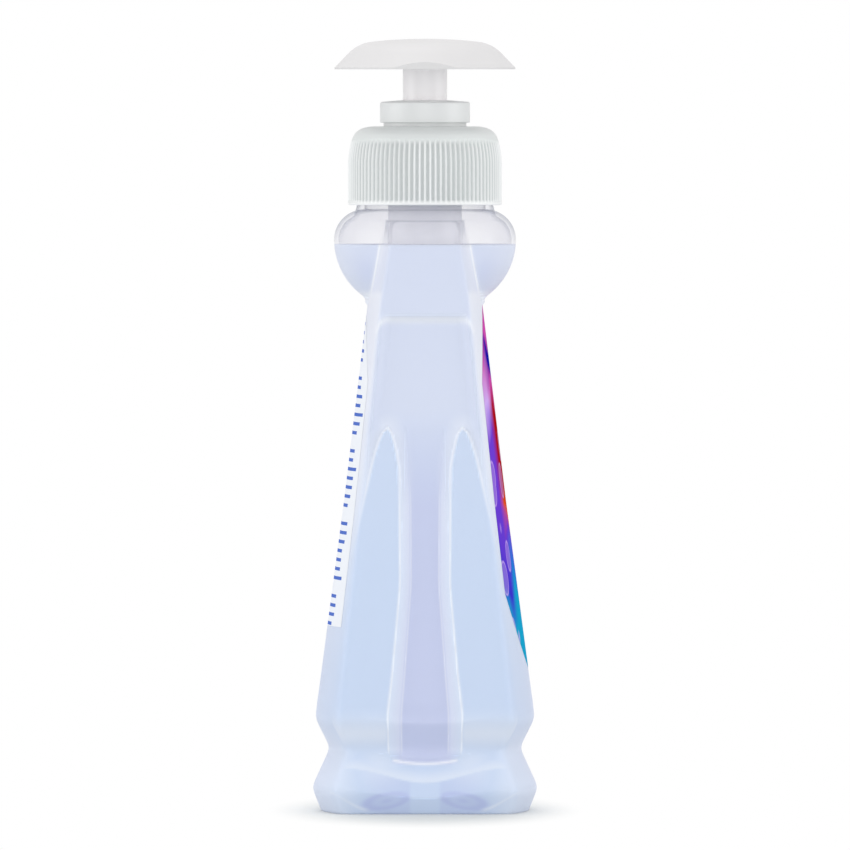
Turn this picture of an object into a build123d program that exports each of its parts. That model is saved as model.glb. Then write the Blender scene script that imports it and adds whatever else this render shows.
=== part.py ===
from build123d import *
import os
from math import cos, radians, sin, sqrt

# Hand soap bottle with a lotion pump, in millimetres.
# The base stands on z = 0 and the neck and pump are on the Z axis.
# The front label faces -Y, the back label +Y, and the grip panels face -X and +X.
# The pump is drawn at rest, pressed up by its spring, with the spout towards -X.

# Bottle body: half width (X) and half depth (Y) at the hip, the middle and the top of the label panels
hip_z = 23.0
hip_half_width = 35.7
hip_half_depth = 22.6
middle_z = 65.0
middle_half_depth = 17.0
panel_top_z = 108.0
panel_top_half_depth = 11.85
shoulder_half_width = 26.1
panel_radius = 150.0
corner = 3.0
lining_chamfer = 0.6
wall = 0.9
base_wall = 1.3

# Foot: corners of its profile as (distance outside the hip outline, height), and their rounding
foot_profile = [(-0.8, 0.0), (1.63, 4.9), (-2.65, 13.2), (0.45, 19.4), (0.0, hip_z)]
foot_rounds = [6.0, 4.0, 8.0]
foot_depth = 2.7
foot_overlap = 0.2
foot_inner_share = 0.7
push_up_inset = 7.0
push_up_slope = 5.0
push_up_height = 2.4

# Shoulder: the ends of the body rise as a fin, and a round bulb stands in the middle
fin_top = 123.9
fin_round = 7.0
fin_foot_z = 106.8
fin_foot_half_depth = 11.75
fin_top_half_depth = 9.0
fin_undercut = 2.4
bulb_radius = 19.1
bulb_z = 119.8
bulb_upper_round = 6.4
bulb_lower_round = 14.5
bulb_foot_z = 106.6
neck_radius = 12.45
neck_bore = 10.9
neck_height = 13.4

# Grip panel: a scoop under a ledge, two arched pads and a flute between them
ledge_z = 102.6
ledge_rise = 0.87
scoop_depth_top = 1.5
scoop_mid_z = 80.0
scoop_depth_mid = 1.2
scoop_end_z = 48.0
scoop_end_rise = 0.4
pad_top_z = 80.6
pad_top_y = 7.8
pad_top_half = 0.8
pad_top_round = 0.9
pad_knee_z = 71.5
pad_knee_y = 11.3
pad_knee_round = 9.0
pad_inner_y = 5.3
pad_outer_y = 15.6
pad_outer_rise = 4.0
flute_depth = 1.9
# Flute stations: height, half width at the mouth, half width of the floor, share of flute_depth
flute_stations = [
    (86.0, 7.0, 5.0, 0.45),
    (80.0, 5.9, 3.9, 0.72),
    (66.5, 5.3, 3.0, 1.0),
    (48.0, 5.15, 2.9, 1.0),
    (29.0, 6.8, 4.3, 1.0),
    (20.5, 7.8, 5.0, 1.0),
    (17.0, 7.8, 5.0, 0.8),
    (13.2, 7.6, 4.9, 0.45),
    (9.8, 7.1, 4.8, 0.7),
]

# Soap and labels
fill_z = 118.9
soap_clearance = 0.15
pump_clearance = 0.3
label_thickness = 0.12
label_gap = 0.06
label_margin = 4.6
front_label_low = 30.0
front_label_side_low = 46.0
front_label_side_high = 90.0
front_label_high = 106.6
back_label_high = 104.0
back_label_low = 39.0
back_label_corner = 5.0

# Closure
closure_radius = 16.15
closure_height = 16.5
closure_bore = 13.9
deck_thickness = 1.8
deck_flat_radius = 10.8
closure_straight = 8.9
closure_bulge = 1.5
rim_height = 0.7
rib_count = 90
rib_height = 12.9
rib_depth = 0.3
rib_lean = 0.35
rib_groove_width = 0.8
turning_clearance = 0.2

# Pump housing, gasket, dip tube and inlet ball
gasket_thickness = 0.9
gasket_radius = 12.4
flange_radius = 12.3
flange_thickness = 1.3
barrel_radius = 7.75
barrel_bore = 6.55
barrel_length = 44.3
barrel_floor = 1.6
ball_radius = 2.4
ball_chamber_radius = 3.2
ball_chamber_depth = 6.0
inlet_radius = 1.5
nib_size = 0.9
nib_count = 3
socket_radius = 4.5
socket_depth = 8.0
tube_radius = 3.0
tube_bore = 2.2
tube_base_gap = 4.0
fit = 0.02
running_fit = 0.03

# Chaplet (the ring that keeps the stem in the housing)
chaplet_radius = 9.45
chaplet_height = 4.3
chaplet_cone = 0.4
chaplet_gap = 0.8
chaplet_neck_radius = 8.7
sleeve_length = 6.8
sleeve_clearance = 0.05
stem_clearance = 0.1

# Stem, piston, valve plug and spring
stem_radius = 4.65
stem_bore = 3.2
flow_bore = 1.9
tail_radius = 2.6
tail_bore = 1.4
tail_length = 10.7
stroke = 8.0
stop_gap = 0.5
rest_gap = 0.3
piston_wall = 0.9
piston_hub_wall = 1.2
piston_web = 2.0
plug_flange_radius = 4.9
plug_flange_thickness = 1.6
plug_shaft_length = 7.0
spring_radius = 4.2
spring_wire = 0.8
spring_turns = 5.5
spring_gap = 0.05

# Pump head: a domed cap, drawn out in front into a short beak
head_show = 6.5
head_height = 6.4
head_radius = 19.0
head_rim = 0.35
crown_radius = 11.2
crown_drop = 0.62
flank_radius = 16.2
flank_drop = 3.15
beak_reach = 28.0
beak_cut = 26.4
head_wall = 1.3
hub_radius = 6.2
plug_tube_length = 8.0
channel_width = 5.0
channel_height = 1.3
channel_floor = 0.7
nozzle_x = 19.5
nozzle_radius = 2.8
nozzle_bore = 1.6
nozzle_drop = 1.3

# Heights worked out from the base up
shoulder_z = bulb_z + bulb_upper_round
mouth_z = shoulder_z + neck_height
flange_z = mouth_z + gasket_thickness
deck_z = flange_z + flange_thickness
closure_top = deck_z + deck_thickness
closure_z = closure_top - closure_height
chaplet_z = closure_top + chaplet_gap
chaplet_edge_z = chaplet_z + chaplet_height
chaplet_top = chaplet_edge_z + chaplet_cone
rim_z = chaplet_top + head_show
head_top = rim_z + head_height
hub_z = chaplet_top + stroke + stop_gap
sleeve_z = deck_z - sleeve_length
stem_shoulder = sleeve_z - rest_gap
tail_z = stem_shoulder - tail_length
seat_z = deck_z - barrel_length
ball_seat_z = seat_z - ball_chamber_depth
socket_top = ball_seat_z - barrel_floor
socket_z = socket_top - socket_depth
tube_low = base_wall + push_up_height + tube_base_gap
far = 60.0


def turned(*points):
    """Solid of revolution about Z of a closed outline of (radius, height) points."""
    return revolve(Plane.XZ * make_face(Polyline(*points, close=True)), Axis.Z)


def ring(outer, inner, low, high):
    """Plain ring between two radii and two heights."""
    return turned((inner, low), (outer, low), (outer, high), (inner, high))


def rod(radius, low, high):
    """Plain upright cylinder between two heights."""
    return turned((0, low), (radius, low), (radius, high), (0, high))


def half_width_at(z):
    """Half width of the tapered body at a height, straight from the hip to the shoulder."""
    return hip_half_width + (shoulder_half_width - hip_half_width) * (z - hip_z) / (fin_top - hip_z)


def end_at(z):
    """Half width of the body at a height, following the corners of the foot's profile below the hip."""
    for (reach, low), (next_reach, high) in zip(foot_profile, foot_profile[1:]):
        if low <= z < high:
            return hip_half_width + reach + (next_reach - reach) * (z - low) / (high - low)
    return half_width_at(z)


def outline(half_width, half_depth):
    """Plan of the body with sharp corners: arched front and back, straight ends."""
    drop = panel_radius - sqrt(panel_radius**2 - half_width**2)
    edge = half_depth - drop
    front = ThreePointArc((-half_width, -edge), (0, -half_depth), (half_width, -edge))
    right = Line((half_width, -edge), (half_width, edge))
    back = ThreePointArc((half_width, edge), (0, half_depth), (-half_width, edge))
    left = Line((-half_width, edge), (-half_width, -edge))
    return make_face([front, right, back, left])


def half_depth_at(z):
    """Half depth of the label panels at a height, straight between the three stations."""
    if z < middle_z:
        return hip_half_depth + (middle_half_depth - hip_half_depth) * (z - hip_z) / (middle_z - hip_z)
    fall = (panel_top_half_depth - middle_half_depth) / (panel_top_z - middle_z)
    return middle_half_depth + fall * (z - middle_z)


def panels(swell):
    """Tapered label panels between the hip and the shoulder, grown outwards by swell."""
    sections = []
    for z in (hip_z, middle_z, panel_top_z):
        face = outline(half_width_at(z) + swell, half_depth_at(z) + swell)
        sections.append(Pos(0, 0, z) * fillet(face.vertices(), corner + swell))
    return loft(sections, ruled=True)


def foot():
    """Foot with its pinched waist: one profile carried round the hip outline, and a filled middle."""
    hip = outline(hip_half_width, hip_half_depth)
    path = fillet(hip.vertices(), corner).face().outer_wire()
    outward = (path % 0).cross(Vector(0, 0, 1))
    if outward.dot(path @ 0) < 0:
        outward = -outward
    plane = Plane(origin=path @ 0, x_dir=outward, z_dir=outward.cross(Vector(0, 0, 1)))
    side = FilletPolyline(*foot_profile, radius=foot_rounds)
    back = Polyline(side @ 1, (-foot_depth, hip_z), (-foot_depth, 0), side @ 0)
    rim = sweep(plane * make_face([side, back]), path=path)
    margin = foot_depth - foot_overlap
    core = outline(hip_half_width - margin, hip_half_depth - margin)
    return rim + extrude(fillet(core.vertices(), corner - margin), hip_z)


def lining(inset):
    """Inside of the foot and the panels, inset from the outer faces, with bevelled corners."""
    stations = []
    for reach, z in foot_profile[:-1]:
        share = foot_inner_share if 0 < z else 1
        stations.append((hip_half_width + reach * share, hip_half_depth + reach * share, z))
    for z in (hip_z, middle_z, panel_top_z):
        stations.append((half_width_at(z), half_depth_at(z), z))
    sections = []
    for half_width, half_depth, z in stations:
        face = outline(half_width - inset, half_depth - inset)
        sections.append(Pos(0, 0, z) * chamfer(face.vertices(), lining_chamfer * corner))
    return loft(sections, ruled=True)


def fin(inset):
    """Flat shoulder behind the bulb, rounded over at its two ends."""
    top = fin_top - inset
    round_over = fin_round - inset
    half = half_width_at(fin_top - fin_round) - inset
    start = top - round_over
    lean = round_over * (1 - sin(radians(45)))
    low = fin_foot_z - fin_undercut
    low_half = half_width_at(low) - inset
    front = [
        Line((low_half, low), (half, start)),
        ThreePointArc((half, start), (half - lean, top - lean), (half - round_over, top)),
        Line((half - round_over, top), (round_over - half, top)),
        ThreePointArc((round_over - half, top), (lean - half, top - lean), (-half, start)),
        Polyline((-half, start), (-low_half, low), (low_half, low)),
    ]
    top_half = fin_top_half_depth - inset
    foot_half = fin_foot_half_depth - inset
    side = Polyline(
        (top_half, fin_top),
        (foot_half, fin_foot_z),
        (foot_half - fin_undercut, low),
        (fin_undercut - foot_half, low),
        (-foot_half, fin_foot_z),
        (-top_half, fin_top),
        close=True,
    )
    across = extrude(Plane.XZ * make_face(front), far, both=True)
    along = extrude(Plane.YZ * make_face(side), far, both=True)
    return across & along


def bulb(inset):
    """Round bulge of the shoulder under the neck, drawn with chords on the inside."""
    radius = bulb_radius - inset
    upper = bulb_upper_round - inset
    lower = bulb_lower_round - inset
    drop = bulb_z - bulb_foot_z

    def above_belt(share):
        angle = radians(90) * share
        return radius - upper + upper * cos(angle), bulb_z + upper * sin(angle)

    def below_belt(share):
        fall = drop * share
        return radius - lower + sqrt(lower**2 - fall**2), bulb_z - fall

    if inset > 0:
        upper_chords = [above_belt(share) for share in (1, 0.7, 0.35)]
        lower_chords = [below_belt(share) for share in (0, 0.4, 0.75, 1)]
        side = Polyline(*upper_chords, *lower_chords)
    else:
        side = ThreePointArc(above_belt(1), above_belt(0.5), above_belt(0))
        side = side + ThreePointArc(below_belt(0), below_belt(0.5), below_belt(1))
    close = Polyline(below_belt(1), (0, bulb_foot_z), (0, bulb_z + upper), above_belt(1))
    return revolve(Plane.XZ * make_face([*side.edges(), *close.edges()]), Axis.Z)


def grip_scoop(inset):
    """Cutter of the +X grip panel: a shallow scoop under the ledge that leaves two arched pads."""
    top_x = half_width_at(ledge_z) - scoop_depth_top - inset
    mid_x = half_width_at(scoop_mid_z) - scoop_depth_mid - inset
    end_x = half_width_at(scoop_end_z) + scoop_end_rise - inset
    ledge = ledge_z + inset
    floor = ThreePointArc((top_x, ledge), (mid_x, scoop_mid_z), (end_x, scoop_end_z))
    ledge_out = ledge + (far - top_x) * ledge_rise
    edge = Polyline((end_x, scoop_end_z), (far, scoop_end_z), (far, ledge_out), (top_x, ledge))
    scoop = extrude(Plane.XZ * make_face([floor, edge]), far, both=True)
    pad = make_face(
        Polyline(
            (pad_inner_y, pad_knee_z),
            (pad_top_y - pad_top_half, pad_top_z),
            (pad_top_y + pad_top_half, pad_top_z),
            (pad_knee_y, pad_knee_z),
            (pad_outer_y, scoop_end_z + pad_outer_rise),
            (far, scoop_end_z),
            (pad_inner_y, scoop_end_z),
            close=True,
        )
    )
    pad = fillet(pad.vertices().sort_by(Axis.Y)[-4:-2], pad_knee_round)
    pad = fillet(pad.vertices().sort_by(Axis.Y)[-2:], pad_top_round)
    if inset > 0:
        pad = offset(pad, -inset, kind=Kind.INTERSECTION)
    block = extrude(Plane.YZ * pad, far)
    return scoop - block - mirror(block, Plane.XZ)


def flute(inset):
    """Cutter of the +X flute: a shallow trough with sloping sides that runs on through the waist."""
    sections = []
    top_z = flute_stations[0][0]
    low_z = flute_stations[-1][0]
    for z, mouth, floor, share in flute_stations:
        depth = flute_depth * share
        floor_x = end_at(z) - depth - inset
        if z == top_z:
            z += 2 * inset
        if z == low_z:
            z -= 2 * inset
        slope = (mouth - floor) / depth
        floor_half = floor + inset
        rise = depth + flute_depth
        mouth_half = floor_half + slope * rise
        face = make_face(
            Polyline(
                (floor_x, -floor_half),
                (floor_x + rise, -mouth_half),
                (floor_x + rise, mouth_half),
                (floor_x, floor_half),
                close=True,
            )
        )
        sections.append(Pos(0, 0, z) * face)
    return loft(sections, ruled=True)


def bottle_form(inset):
    """The bottle's whole form below the neck, moved inwards by inset."""
    trunk = lining(inset) if inset > 0 else panels(0) + foot()
    form = trunk + fin(inset) + bulb(inset)
    for cutter in (grip_scoop(inset), flute(inset)):
        form -= cutter
        form -= mirror(cutter, Plane.YZ)
    return form


def push_up(grow):
    """Hollow under the base: the foot's outline drawn in, with sloping sides and a flat roof."""
    low = push_up_inset - grow
    high = low + push_up_slope
    wide = outline(hip_half_width - low, hip_half_depth - low)
    narrow = outline(hip_half_width - high, hip_half_depth - high)
    sections = [wide, Pos(0, 0, push_up_height + grow) * narrow]
    return loft([fillet(face.vertices(), corner) for face in sections], ruled=True)


def slab(low, high):
    """Everything between two heights."""
    return Pos(0, 0, 0.5 * (low + high)) * Box(4 * far, 4 * far, high - low)


def make_bottle():
    """Blown bottle with an even wall, a hollow base and a plain neck."""
    neck = rod(neck_radius, bulb_z, mouth_z)
    bore = rod(neck_bore, bulb_z, mouth_z)
    cavity = (bottle_form(wall) & slab(base_wall, mouth_z)) - push_up(base_wall)
    return bottle_form(0) + neck - push_up(0) - cavity - bore


def make_soap():
    """Soap up to its level, clear of the wall, with a well for the housing and the dip tube."""
    soap = bottle_form(wall + soap_clearance) & slab(base_wall + soap_clearance, fill_z)
    soap -= push_up(base_wall + soap_clearance)
    soap -= rod(tube_radius + pump_clearance, tube_low - pump_clearance, fill_z)
    soap -= rod(socket_radius + pump_clearance, socket_z - pump_clearance, fill_z)
    soap -= rod(barrel_radius + pump_clearance, ball_seat_z - pump_clearance, fill_z)
    return soap


def make_label(shape):
    """Thin film over the front or back panel, cut to a shape drawn in the front view."""
    film = panels(label_gap + label_thickness) - panels(label_gap)
    return film & shape


def label_edges(low, high):
    """Half widths of a label at two heights, a margin in from the body's ends."""
    return half_width_at(low) - label_margin, half_width_at(high) - label_margin


def make_front_label():
    """Front label with straight sides and arched ends."""
    low_half, high_half = label_edges(front_label_side_low, front_label_side_high)
    shape = make_face(
        [
            Line((low_half, front_label_side_low), (high_half, front_label_side_high)),
            ThreePointArc(
                (high_half, front_label_side_high),
                (0, front_label_high),
                (-high_half, front_label_side_high),
            ),
            Line((-high_half, front_label_side_high), (-low_half, front_label_side_low)),
            ThreePointArc(
                (-low_half, front_label_side_low),
                (0, front_label_low),
                (low_half, front_label_side_low),
            ),
        ]
    )
    return make_label(extrude(Plane.XZ * shape, far))


def make_back_label():
    """Back label with an arched top and a straight bottom edge."""
    low_half, high_half = label_edges(back_label_low, front_label_side_high)
    shape = make_face(
        [
            Line((low_half, back_label_low), (high_half, front_label_side_high)),
            ThreePointArc(
                (high_half, front_label_side_high),
                (0, back_label_high),
                (-high_half, front_label_side_high),
            ),
            Line((-high_half, front_label_side_high), (-low_half, back_label_low)),
            Line((-low_half, back_label_low), (low_half, back_label_low)),
        ]
    )
    shape = fillet(shape.vertices().sort_by(Axis.Y)[:2], back_label_corner)
    return make_label(extrude(Plane.XZ * shape, -far))


def make_closure():
    """Screw closure: a domed cap with a ribbed skirt and a hole for the chaplet's neck."""
    hole = chaplet_neck_radius + turning_clearance
    shoulder = closure_z + closure_straight
    skirt = Polyline(
        (deck_flat_radius, closure_top),
        (hole, closure_top),
        (hole, deck_z),
        (closure_bore, deck_z),
        (closure_bore, closure_z),
        (closure_radius, closure_z),
        (closure_radius, shoulder),
    )
    knee = (closure_radius - closure_bulge, closure_top - closure_bulge)
    dome = [
        TangentArc((closure_radius, shoulder), knee, tangent=(0, 1)),
        TangentArc((deck_flat_radius, closure_top), knee, tangent=(1, 0)),
    ]
    cap = revolve(Plane.XZ * make_face([skirt, *dome]), Axis.Z)
    groove = make_face(
        Polyline(
            (closure_radius - rib_depth, 0),
            (closure_radius + rib_depth, rib_groove_width),
            (closure_radius + rib_depth, -rib_groove_width),
            close=True,
        )
    )
    low = Pos(0, 0, closure_z + rim_height) * groove
    cutter = extrude(low, rib_height, dir=(-rib_lean, 0, rib_height))
    return cap - [Rot(0, 0, 360 * i / rib_count) * cutter for i in range(rib_count)]


def make_gasket():
    """Flat foam ring between the bottle's mouth and the housing's flange."""
    return ring(gasket_radius, barrel_radius + fit, mouth_z, flange_z)


def make_housing():
    """Pump cylinder: flange, barrel, ball chamber with its seat, and a socket for the dip tube."""
    body = turned(
        (barrel_bore, deck_z),
        (flange_radius, deck_z),
        (flange_radius, flange_z),
        (barrel_radius, flange_z),
        (barrel_radius, seat_z - barrel_floor),
        (socket_radius, ball_seat_z),
        (socket_radius, socket_z),
        (tube_radius + fit, socket_z),
        (tube_radius + fit, socket_top),
        (inlet_radius, socket_top),
        (inlet_radius, ball_seat_z),
        (ball_chamber_radius, ball_seat_z + ball_chamber_radius - inlet_radius),
        (ball_chamber_radius, seat_z),
        (barrel_bore, seat_z),
    )
    nib = Pos(ball_chamber_radius, 0, seat_z - 0.5 * nib_size) * Box(2 * nib_size, nib_size, nib_size)
    return body + [Rot(0, 0, 360 * i / nib_count) * nib for i in range(nib_count)]


def make_ball():
    """Inlet ball, resting on the cone of its seat."""
    lift = ball_radius * sqrt(2) - inlet_radius
    return Pos(0, 0, ball_seat_z + lift + fit) * Sphere(ball_radius)


def make_dip_tube():
    """Straight tube from the housing's socket to just above the base."""
    return ring(tube_radius, tube_bore, tube_low, socket_top)


def make_chaplet():
    """Ring that snaps into the housing and guides the stem."""
    bore = stem_radius + stem_clearance
    sleeve = barrel_bore - sleeve_clearance
    return turned(
        (bore, sleeve_z),
        (sleeve, sleeve_z),
        (sleeve, deck_z),
        (chaplet_neck_radius, deck_z),
        (chaplet_neck_radius, chaplet_z),
        (chaplet_radius, chaplet_z),
        (chaplet_radius, chaplet_edge_z),
        (bore, chaplet_top),
    )


def make_stem():
    """Hollow stem: a wide upper tube that takes the head, and a narrow tail for the piston."""
    plug_low = hub_z - plug_tube_length - fit
    return turned(
        (tail_bore, tail_z),
        (tail_radius, tail_z),
        (tail_radius, stem_shoulder),
        (stem_radius, stem_shoulder),
        (stem_radius, hub_z),
        (stem_bore, hub_z),
        (stem_bore, plug_low),
        (flow_bore, plug_low),
        (flow_bore, stem_shoulder),
        (tail_bore, stem_shoulder - flow_bore),
    )


def make_piston():
    """Soft piston on the stem's tail: a hub, a web and a skirt that wipes the barrel."""
    skirt = barrel_bore - running_fit
    hub_in = tail_radius + running_fit
    hub_out = hub_in + piston_hub_wall
    top = stem_shoulder - running_fit
    low = tail_z + running_fit
    web = 0.5 * (top + low)
    return turned(
        (hub_in, low),
        (hub_out, low),
        (hub_out, web - 0.5 * piston_web),
        (skirt - piston_wall, low),
        (skirt, low),
        (skirt, top),
        (skirt - piston_wall, top),
        (hub_out, web + 0.5 * piston_web),
        (hub_out, top),
        (hub_in, top),
    )


def make_valve_plug():
    """Plug in the stem's tail that carries the piston and takes the spring."""
    low = tail_z - plug_flange_thickness
    return turned(
        (0, low),
        (plug_flange_radius, low),
        (plug_flange_radius, tail_z),
        (tail_bore - fit, tail_z),
        (tail_bore - fit, tail_z + plug_shaft_length),
        (0, tail_z + plug_shaft_length),
    )


def make_spring():
    """Compression spring between the housing's seat and the valve plug."""
    low = seat_z + spring_gap + 0.5 * spring_wire
    high = tail_z - plug_flange_thickness - spring_gap - 0.5 * spring_wire
    path = Helix(pitch=(high - low) / spring_turns, height=high - low, radius=spring_radius)
    section = Plane(origin=path @ 0, z_dir=path % 0) * RegularPolygon(0.5 * spring_wire, 4)
    return Pos(0, 0, low) * sweep(section, path=path, is_frenet=True)


def half_dome(radius, top, rounded):
    """Front half of a round domed cap: a flat crown, a shoulder, a straight flank and a short rim.
    The crown and the shoulder are tangent arcs outside, and plain cones inside the shell."""
    inset = head_radius - radius
    crown = (crown_radius - inset, top - crown_drop)
    flank = (flank_radius - inset, top - flank_drop)
    edge = (radius, rim_z + head_rim)
    if rounded:
        cap = TangentArc((0, top), crown, tangent=(1, 0))
        side = [cap, TangentArc(crown, flank, tangent=cap % 1)]
    else:
        side = [Polyline((0, top), crown, flank)]
    rest = Polyline(flank, edge, (radius, rim_z), (0, rim_z), (0, top))
    return revolve(Plane.YZ * make_face([*side, rest]), Axis.Z, 180)


def dome(radius, reach, top, rounded):
    """Domed cap over a plan that is round behind and drawn out to reach in front."""
    half = half_dome(radius, top, rounded)
    if half.center(CenterOf.MASS).X > 0:
        half = Rot(0, 0, 180) * half
    return Rot(0, 0, 180) * half + scale(half, by=(reach / radius, 1, 1))


def make_head():
    """Pump head: hollow domed shell, hub with its plug tube, and a flat channel to the nozzle."""
    shell = dome(head_radius, beak_reach, head_top, True)
    hollow = dome(head_radius - head_wall, beak_reach - head_wall, head_top - head_wall, False)
    beak = Pos(-far - beak_cut, 0, 0) * Box(2 * far, 4 * far, 8 * far)
    hollow -= Pos(head_wall, 0, 0) * beak
    duct = Pos(-0.5 * nozzle_x, 0, 0.5 * (hub_z + head_top)) * Box(
        nozzle_x, channel_width + 2 * head_wall, head_top - hub_z
    )
    nozzle = Pos(-nozzle_x, 0, 0) * rod(nozzle_radius, rim_z + nozzle_drop, head_top)
    hollow = hollow - duct - rod(hub_radius, hub_z, head_top) - nozzle
    head = shell - beak - hollow
    head += rod(stem_bore - fit, hub_z - plug_tube_length, hub_z)
    channel_top = hub_z + channel_floor + channel_height
    channel = Pos(-0.5 * nozzle_x, 0, channel_top - 0.5 * channel_height)
    head -= channel * Box(nozzle_x, channel_width, channel_height)
    head -= rod(flow_bore, hub_z - plug_tube_length, channel_top)
    head -= Pos(-nozzle_x, 0, 0) * rod(nozzle_bore, rim_z, channel_top)
    return head


parts = {
    "bottle": make_bottle(),
    "liquid_soap": make_soap(),
    "front_label": make_front_label(),
    "back_label": make_back_label(),
    "closure": make_closure(),
    "gasket": make_gasket(),
    "pump_housing": make_housing(),
    "inlet_ball": make_ball(),
    "dip_tube": make_dip_tube(),
    "chaplet": make_chaplet(),
    "stem": make_stem(),
    "piston": make_piston(),
    "valve_plug": make_valve_plug(),
    "return_spring": make_spring(),
    "pump_head": make_head(),
}
os.makedirs("parts", exist_ok=True)
for name, solid in parts.items():
    export_step(solid, f"parts/{name}.step")
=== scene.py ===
import math

import bmesh
import bpy
import numpy as np
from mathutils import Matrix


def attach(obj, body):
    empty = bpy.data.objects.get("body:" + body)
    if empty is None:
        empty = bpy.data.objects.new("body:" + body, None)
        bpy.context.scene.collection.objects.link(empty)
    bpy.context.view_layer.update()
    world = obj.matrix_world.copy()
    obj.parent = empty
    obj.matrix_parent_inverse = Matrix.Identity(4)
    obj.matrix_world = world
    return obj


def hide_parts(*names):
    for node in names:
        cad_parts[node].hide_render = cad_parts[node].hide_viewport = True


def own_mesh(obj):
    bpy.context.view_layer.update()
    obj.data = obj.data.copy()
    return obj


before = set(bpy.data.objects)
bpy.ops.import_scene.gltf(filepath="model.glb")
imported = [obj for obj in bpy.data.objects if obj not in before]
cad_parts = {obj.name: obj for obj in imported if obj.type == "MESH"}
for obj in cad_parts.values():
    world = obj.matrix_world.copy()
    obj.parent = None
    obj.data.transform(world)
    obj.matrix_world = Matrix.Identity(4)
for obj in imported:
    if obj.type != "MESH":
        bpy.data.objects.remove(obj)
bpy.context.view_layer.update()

# The bottle: one piece, blown from clear plastic, with a thin even wall.
# Its broad panels taper from a pinched foot to a flat shoulder with a round bulb under the neck,
# and each narrow end has a ledge, two arched pads and a flute to hold it by.
MM = 0.001
HIP_Z = 23.0
HIP_HALF_WIDTH = 35.7
SHOULDER_HALF_WIDTH = 26.1
FIN_TOP = 123.9
FIN_ROUND = 7.0
PANEL_RADIUS = 150.0
PANEL_Z = [HIP_Z, 65.0, 107.5, FIN_TOP]
PANEL_HALF_DEPTH = [22.6, 17.0, 11.9, 9.0]
FOOT_Z = [-2.0, 0.0, 4.9, 13.2, 19.4, HIP_Z, 30.0]
FOOT_REACH = [-1.6, -0.8, 1.15, -2.65, 0.45, 0.0, 0.0]
FOOT_SOFTNESS = 2.2
FOOT_DIP = 2.9
FOOT_DIP_HALF = 16.0
BULB_RADIUS = 19.1
BULB_Z = 119.8
BULB_UPPER = 6.4
BULB_LOWER = 14.5
BULB_FOOT_Z = 106.6
NECK_RADIUS = 12.45
NECK_BORE = 10.9
NECK_LOW = 126.6
MOUTH_Z = 139.6
WALL = 0.9
BASE_WALL = 1.3
CORNER_POWER = 36.0
BULB_POWER = 30.0
THREAD_LOW = 129.7
THREAD_PITCH = 4.23
THREAD_TURNS = 1.5
THREAD_HIGH = 1.05
THREAD_CREST = 1.4
THREAD_SIDE = 0.6
THREAD_TAPER = 0.12
THREAD_FROM_Z = 127.0


def smooth(edge_low, edge_high, value):
    """Smooth step: 0 below the low edge, 1 above the high one, three squares less two cubes between."""
    t = np.clip((value - edge_low) / (edge_high - edge_low), 0.0, 1.0)
    return t * t * (3.0 - 2.0 * t)


def half_width_at(z):
    """Half width of the body: straight from the hip up to the shoulder, level below the hip."""
    share = np.clip((z - HIP_Z) / (FIN_TOP - HIP_Z), 0.0, 1.0)
    return HIP_HALF_WIDTH + (SHOULDER_HALF_WIDTH - HIP_HALF_WIDTH) * share


SOFT_SAMPLES = 13


def soft_line(z, heights, values, softness):
    """Straight lines between corners at given heights, averaged over a short height with a cosine
    weight."""
    shifts = np.linspace(-1.0, 1.0, SOFT_SAMPLES)
    weights = 1.0 + np.cos(np.pi * shifts)
    places = z[..., None] + softness * shifts
    return (np.interp(places, heights, values) * weights).sum(-1) / weights.sum()


def foot_dip(across):
    """How far the foot's upper edge sinks on a narrow end: most in the middle, none at the corners."""
    return FOOT_DIP * smooth(FOOT_DIP_HALF, 0.0, across)


LEDGE_Z = 103.5
LEDGE_HALF = 10.0
LEDGE_ROUND = 2.2
LEDGE_RUN = 1.6
GRIP_TOP_Z = LEDGE_Z + 2.0
SCOOP_MIDDLE_Z = 80.0
SCOOP_DEPTH = 1.2
SCOOP_SLOPE = 0.0285
SCOOP_BOW = 0.00067
SCOOP_MARGIN = 3.0
PAD_TOP_Z = 80.6
PAD_RUN = 0.9
PAD_Z = [52.0, 60.0, 68.0, 72.0, 75.5, 78.0, 79.6, PAD_TOP_Z]
PAD_OUTER = [15.6, 13.9, 12.1, 11.25, 10.4, 9.6, 8.9, 7.8]
PAD_INNER = [5.3, 5.3, 5.3, 5.4, 5.95, 6.5, 7.0, 7.8]
FLUTE_Z = [9.8, 13.2, 20.5, 29.0, 48.0, 66.5, 80.0, 86.0]
FLUTE_MOUTH = [7.1, 7.6, 7.8, 6.8, 5.15, 5.3, 5.9, 7.0]
FLUTE_FLOOR = [4.8, 4.9, 5.0, 4.3, 2.9, 3.0, 3.9, 5.0]
DEPTH_Z = [10.2, 11.3, 13.2, 17.0, 20.5, 66.5, 80.0, 86.0, 92.0]
FLUTE_DEPTH = [0.0, 1.1, 1.2, 1.6, 1.9, 1.9, 1.37, 0.85, 0.0]
FLUTE_SOFTNESS = 3.0
FLUTE_END_HALF = 7.0
FLUTE_END_BOW = 0.5
DEPTH_SOFTNESS = 0.5


def pad_distance(across, z):
    """Distance outside a pad's outline: how far a point is beside its two arched sides, or from its top
    where it is above it."""
    outer = np.interp(z, PAD_Z, PAD_OUTER)
    inner = np.interp(z, PAD_Z, PAD_INNER)
    beside = np.maximum(inner - across, across - outer)
    above = z - PAD_TOP_Z
    return np.where(above > 0.0, np.hypot(np.maximum(beside, 0.0), above), np.maximum(beside, above))


def flute_half(z):
    """Half widths of the flute at a height, at its mouth and on its floor."""
    mouth = soft_line(z, FLUTE_Z, FLUTE_MOUTH, FLUTE_SOFTNESS)
    floor = soft_line(z, FLUTE_Z, FLUTE_FLOOR, FLUTE_SOFTNESS)
    return mouth, floor


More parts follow.
